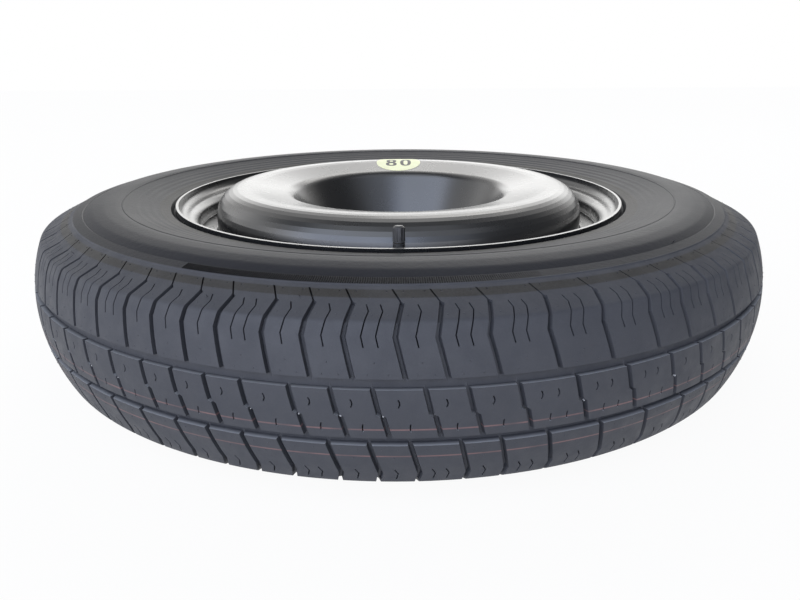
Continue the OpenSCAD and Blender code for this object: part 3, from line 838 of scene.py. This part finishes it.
# Thin hairs that the mould's vents leave, as turn, radius, height, length and lean in degrees
ventHairs = {
    "radius": 0.22,
    "hairs": ((-21.0, 322.0, 57.6, 3.4, 20), (-10.5, 315.5, 60.8, 2.2, -10), (-9.3, 315.5, 60.8, 2.2, 25),
              (35.5, 309.0, 64.0, 3.0, 15), (41.0, 296.0, 68.8, 2.6, -20), (43.0, 322.0, 57.6, 2.6, 30),
              (-48.0, 318.0, 59.7, 2.8, 0), (64.0, 316.0, 60.6, 2.4, 10)),
}



def hairPiece():
    points, faces = [], []
    for turn, radius, height, length, lean in ventHairs["hairs"]:
        angle = math.radians(turn)
        foot = Vector(place(radius, height, angle))
        out = Vector((math.sin(angle), -math.cos(angle), 1.1)).normalized()
        side = Vector((math.cos(angle), math.sin(angle), 0))
        up = (out + side * math.tan(math.radians(lean))).normalized()
        sideways = up.cross(side).normalized()
        start = len(points)
        for k in range(5):
            s = k / 4
            centre = foot + up * (length * s - 0.3) * 0.001 + side * math.sin(s * 2) * 0.0004 * (1 if lean > 0 else -1)
            thick = ventHairs["radius"] * (1.4 - 0.8 * s) * 0.001
            for i in range(6):
                a = i * math.pi / 3
                points.append(tuple(centre + (side * math.cos(a) + sideways * math.sin(a)) * thick))
        for k in range(4):
            for i in range(6):
                a, b = start + k * 6 + i, start + k * 6 + (i + 1) % 6
                faces.append((a, b, b + 6, a + 6))
        faces.append(tuple(start + 24 + i for i in range(6)))
    return meshPiece("ventHairs", points, faces, tyre.data.materials[0], 50)


# Pale specks of trimmed rubber beside the steps of the middle grooves
specks = {"radius": 0.75, "colour": (0.34, 0.34, 0.35, 1), "share": 0.7}


def speckPiece():
    points, faces = [], []
    total = sum(tyreForm["pitchSize"][k] for k in tyreForm["pitches"])
    turn = math.radians(tyreForm["firstPitch"])
    for letter in tyreForm["pitches"]:
        if random.random() < specks["share"]:
            u = lineAt(centreLine, lengthAt(-0.6))[0] + tyreForm["slotWidth"] * 0.62 + random.uniform(-0.2, 0.3)
            height = random.uniform(-1.8, 0.4)
            radius = crown(height)
            size = specks["radius"] * random.uniform(0.6, 1.15)
            start = len(points)
            for level, share in ((-1.6, 1.0), (-0.3, 0.85), (-0.05, 0.4)):
                for k in range(8):
                    a = k * math.pi / 4
                    points.append(place(radius + level, height + size * share * math.sin(a),
                                        turn + (u + size * share * math.cos(a)) / radius))
            for level in (0, 8):
                for k in range(8):
                    a, b = start + level + k, start + level + (k + 1) % 8
                    faces.append((a, b, b + 8, a + 8))
            faces.append(tuple(start + 16 + k for k in range(8)))
        turn += math.radians(360 / total * tyreForm["pitchSize"][letter])
    material, tree, shader, position = newMaterial("speckRubber", colour=specks["colour"], specular=0.4)
    tree.links.new(spread(tree, noise(tree, position, 900.0), 0.3, 0.7, 0.45, 0.7), shader.inputs["Roughness"])
    return meshPiece("trimSpecks", points, faces, material, 60)


for maker in (knurlPiece, hairPiece, speckPiece):
    piece = maker()
    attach(piece, "wheel")
print("tyre's small parts ready")

# Finishes of the parts that stay as they are
coatLook = {
    "shader": {"colour": (0.009, 0.0095, 0.0105, 1), "specular": 0.9, "coat": 0.5, "coatRoughness": 0.2},
    "dustColour": (0.2, 0.21, 0.22, 1), "dust": 0.01, "patchScale": 9.0, "roughness": (0.26, 0.29),
    "ripples": (90.0, 900.0, 0.0, 0.008),
}
valveRubberLook = {
    "shader": {"colour": (0.02, 0.02, 0.022, 1), "specular": 0.45},
    "dustColour": (0.2, 0.2, 0.2, 1), "dust": 0.08, "patchScale": 60.0, "roughness": (0.45, 0.6),
    "ripples": (700.0, 4000.0, 0.4, 0.2),
}
brassLook = {
    "shader": {"colour": (0.62, 0.48, 0.24, 1), "metallic": 1.0},
    "dustColour": (0.2, 0.15, 0.1, 1), "dust": 0.1, "patchScale": 120.0, "roughness": (0.25, 0.4),
    "ripples": (900.0, 6000.0, 0.5, 0.15),
}
capLook = {
    "shader": {"colour": (0.03, 0.03, 0.032, 1), "specular": 0.8},
    "dustColour": (0.3, 0.3, 0.3, 1), "dust": 0.05, "patchScale": 90.0, "roughness": (0.3, 0.42),
    "ripples": (900.0, 5000.0, 0.4, 0.15),
}
sealLook = {
    "shader": {"colour": (0.3, 0.03, 0.02, 1), "specular": 0.45},
    "dustColour": (0.3, 0.2, 0.2, 1), "dust": 0.05, "patchScale": 200.0, "roughness": (0.4, 0.55),
    "ripples": (1500.0, 8000.0, 0.4, 0.15),
}
springLook = {
    "shader": {"colour": (0.45, 0.45, 0.46, 1), "metallic": 1.0},
    "dustColour": (0.2, 0.2, 0.2, 1), "dust": 0.05, "patchScale": 300.0, "roughness": (0.25, 0.35),
    "ripples": (2500.0, 9000.0, 0.4, 0.1),
}
vinylLook = {
    "shader": {"colour": (0.83, 0.84, 0.52, 1), "specular": 0.5},
    "dustColour": (0.5, 0.47, 0.35, 1), "dust": 0.08, "patchScale": 40.0, "roughness": (0.35, 0.5),
    "ripples": (500.0, 3000.0, 0.3, 0.1),
}

finishes = {}
for slotName, look, nodeNames in (
        ("black_coat", coatLook, ("rim", "disc", "weld_beads")),
        ("valve_rubber", valveRubberLook, ("valve_rubber", "core_cup_seal", "cap_seal")),
        ("valve_brass", brassLook, ("valve_stem", "core_plug", "core_barrel", "core_pin", "core_cup")),
        ("red_seal", sealLook, ("core_barrel_seal",)), ("spring_steel", springLook, ("core_spring",)),
        ("cap_plastic", capLook, ("valve_cap",)), ("yellow_vinyl", vinylLook, ("round_sticker",))):
    finishes[slotName] = finish(slotName.title().replace("_", ""), look)
    for nodeName in nodeNames:
        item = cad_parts[nodeName]
        item.data.materials.clear()
        item.data.materials.append(finishes[slotName])
print("finishes: %d" % len(finishes))


def springPiece():
    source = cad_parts["core_spring"]
    piece = addObject("coreSpring", source.data.copy())
    piece.matrix_world = source.matrix_world.copy()
    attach(piece, "wheel")
    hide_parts("core_spring")
    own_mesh(piece)


springPiece()

# The sticker's number, a plain eight and nought printed on it
numerals = {"height": 22.0, "width": 13.2, "gap": 4.4, "stroke": 4.0, "lift": 0.06, "radius": 141.0,
            "colour": (0.035, 0.034, 0.03, 1)}


def numberPiece():
    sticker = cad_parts["round_sticker"]
    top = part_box("round_sticker")[1].z + 0.02
    points, faces = [], []

    def lay(x, y):  # a point of the number, seen from the wheel's front, on the sticker
        at = Vector((x * 0.001, (numerals["radius"] + y) * 0.001, top))
        found, hit, normal = sticker.ray_cast(at, Vector((0, 0, -1)))[:3]
        return tuple(hit + normal * numerals["lift"] * 0.001) if found else tuple(at)

    def ring(cx, cy, halfX, halfY, stroke, steps=44):
        start = len(points)
        for k in range(steps):
            a = 2 * math.pi * k / steps
            c, s = math.cos(a), math.sin(a)
            bulge = 1 / (abs(c) ** 2.6 + abs(s) ** 2.6) ** (1 / 2.6)
            for inset in (0, stroke / 2, stroke):
                points.append(lay(cx + (halfX - inset) * c * bulge, cy + (halfY - inset * 0.8) * s * bulge))
        for k in range(steps):
            a, b = start + k * 3, start + (k + 1) % steps * 3
            faces.extend([(a, b, b + 1, a + 1), (a + 1, b + 1, b + 2, a + 2)])

    wide, tall, stroke = numerals["width"] / 2, numerals["height"] / 2, numerals["stroke"]
    shift = wide + numerals["gap"] / 2
    ring(-shift, -tall * 0.46, wide, tall * 0.56, stroke)
    ring(-shift, tall * 0.5, wide * 0.92, tall * 0.5, stroke)
    ring(shift, 0, wide, tall, stroke)
    material, tree, shader, position = newMaterial("numberInk", colour=numerals["colour"], specular=0.5, roughness=0.4)
    ink = noise(tree, position, 900.0, 3.0)
    tree.links.new(spread(tree, ink, 0.3, 0.7, 0.34, 0.5), shader.inputs["Roughness"])
    return meshPiece("stickerNumber", points, faces, material)


number = numberPiece()
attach(number, "wheel")
print("number laid on the sticker")

# Floor, light and camera
studio = {
    "floorSize": 14.0, "floorColour": (0.9, 0.9, 0.9, 1), "floorGlow": 0.94, "worldBase": 0.12,
    # each glow of the room: its middle in degrees (turn from the back towards the right, then rise),
    # its half width and half height, its strength and its colour
    "glows": (((-3, 34), 58, 32, 0.6, (1.0, 0.985, 0.965)), ((0, 56), 24, 16, 1.0, (1.0, 0.99, 0.97)),
              ((3, 15), 30, 7, 2.5, (1.0, 1.0, 0.99)), ((-150, 28), 40, 20, 1.7, (0.74, 0.86, 1.16)),
              ((-160, 6), 62, 16, 1.8, (0.97, 0.98, 1.03)), ((180, 60), 70, 18, 0.7, (0.92, 0.96, 1.04)),
              ((165, 28), 30, 16, 0.45, (0.74, 0.88, 1.18)), ((-85, 18), 34, 20, 0.9, (1.0, 1.0, 1.0))),
    "softness": 14.0, "lens": 28.655, "cameraAt": (0.0, -0.659839, 0.260319), "cameraTurn": (69.7029, 0.2846, -0.1806),
    "lamps": (("back", (0.6, 2.2, 2.0), (0, 0, 0.1), 1.6, 0.8, 8.0, (1.0, 0.98, 0.95)),
              ("window", (-1.2, -1.5, 2.2), (0, 0, 0.1), 2.6, 2.0, 10.0, (0.9, 0.95, 1.0))),
}


def makeFloor():
    size = studio["floorSize"] / 2
    mesh = bpy.data.meshes.new("floor")
    mesh.from_pydata([(-size, -size, 0), (size, -size, 0), (size, size, 0), (-size, size, 0)], [], [(0, 1, 2, 3)])
    material = bpy.data.materials.new("paleFloor")
    material.use_nodes = True
    tree = material.node_tree
    shader = tree.nodes["Principled BSDF"]
    shader.inputs["Base Color"].default_value = studio["floorColour"]
    shader.inputs["Roughness"].default_value = 0.9
    shader.inputs["Specular IOR Level"].default_value = 0.0
    glow = tree.nodes.new("ShaderNodeEmission")
    glow.inputs["Strength"].default_value = 1.0
    path = tree.nodes.new("ShaderNodeLightPath")
    seen = mathNode(tree, "MAXIMUM", path.outputs["Is Camera Ray"],
                    mathNode(tree, "MAXIMUM", path.outputs["Is Glossy Ray"], path.outputs["Is Transmission Ray"]))
    mixShaders(tree, times(tree, seen, studio["floorGlow"]), shader.outputs[0], glow.outputs[0], "Material Output")
    mesh.materials.append(material)
    addObject("floor", mesh)


def makeWorld():  # a white room that is brighter at the back and at the front window than at its sides
    world = bpy.data.worlds.new("studio")
    bpy.context.scene.world = world
    world.use_nodes = True
    tree = world.node_tree
    split = tree.nodes.new("ShaderNodeSeparateXYZ")
    tree.links.new(tree.nodes.new("ShaderNodeTexCoord").outputs["Generated"], split.inputs[0])
    x, y, z = split.outputs
    turn = mathNode(tree, "ARCTAN2", x, y)
    rise = mathNode(tree, "ARCSINE", z)
    total = (studio["worldBase"],) * 3 + (1,)
    for (turnAt, riseAt), wide, high, strength, tint in studio["glows"]:
        turned = mathNode(tree, "WRAP", mathNode(tree, "SUBTRACT", turn, math.radians(turnAt)), math.pi, c=-math.pi)
        away = mathNode(tree, "ABSOLUTE", turned)
        up = mathNode(tree, "ABSOLUTE", mathNode(tree, "SUBTRACT", rise, math.radians(riseAt)))
        soft = math.radians(studio["softness"])
        masks = []
        for value, reach in ((away, wide), (up, high)):
            node = tree.nodes.new("ShaderNodeMapRange")
            node.interpolation_type = "SMOOTHSTEP"
            tree.links.new(value, node.inputs["Value"])
            node.inputs["From Min"].default_value = math.radians(reach) - soft
            node.inputs["From Max"].default_value = math.radians(reach) + soft
            node.inputs["To Min"].default_value = 1.0
            node.inputs["To Max"].default_value = 0.0
            masks.append(node.outputs["Result"])
        mask = times(tree, masks[0], masks[1])
        part = mixColour(tree, mask, (0, 0, 0, 1), tuple(strength * c for c in tint) + (1,))
        total = mixColour(tree, 1.0, total, part, "ADD")
    light = tree.nodes["Background"]
    tree.links.new(total, light.inputs["Color"])
    backdrop = tree.nodes.new("ShaderNodeBackground")
    backdrop.inputs["Color"].default_value = (1, 1, 1, 1)
    path = tree.nodes.new("ShaderNodeLightPath")
    behind = spread(tree, y, 0.3, 0.7)  # gloss sees the white backdrop where it is, behind the wheel and low down
    low = spread(tree, z, 0.2, 0.04)
    gloss = times(tree, path.outputs["Is Glossy Ray"], times(tree, behind, low, True), True)
    seen = mathNode(tree, "MAXIMUM",
                    mathNode(tree, "MAXIMUM", path.outputs["Is Camera Ray"], path.outputs["Is Transmission Ray"]),
                    times(tree, gloss, 0.5))
    mixShaders(tree, seen, light.outputs[0], backdrop.outputs[0], "World Output")


def makeLamps():
    for name, at, to, sizeX, sizeY, power, tint in studio["lamps"]:
        data = bpy.data.lights.new(name + "Lamp", "AREA")
        data.shape = "RECTANGLE"
        data.size, data.size_y = sizeX, sizeY
        data.energy = power
        data.color = tint
        lamp = addObject(name + "Lamp", data)
        lamp.location = at
        lamp.rotation_euler = (Vector(to) - Vector(at)).to_track_quat("-Z", "Y").to_euler()


def makeCamera():
    data = bpy.data.cameras.new("camera")
    data.lens = studio["lens"]
    data.sensor_width = 36
    data.sensor_fit = "HORIZONTAL"
    data.clip_start = 0.02
    camera = addObject("camera", data)
    camera.location = studio["cameraAt"]
    camera.rotation_euler = [math.radians(turn) for turn in studio["cameraTurn"]]
    bpy.context.scene.camera = camera


makeFloor()
makeWorld()
makeLamps()
makeCamera()
bpy.context.scene.view_settings.view_transform = "Standard"
print("studio ready")
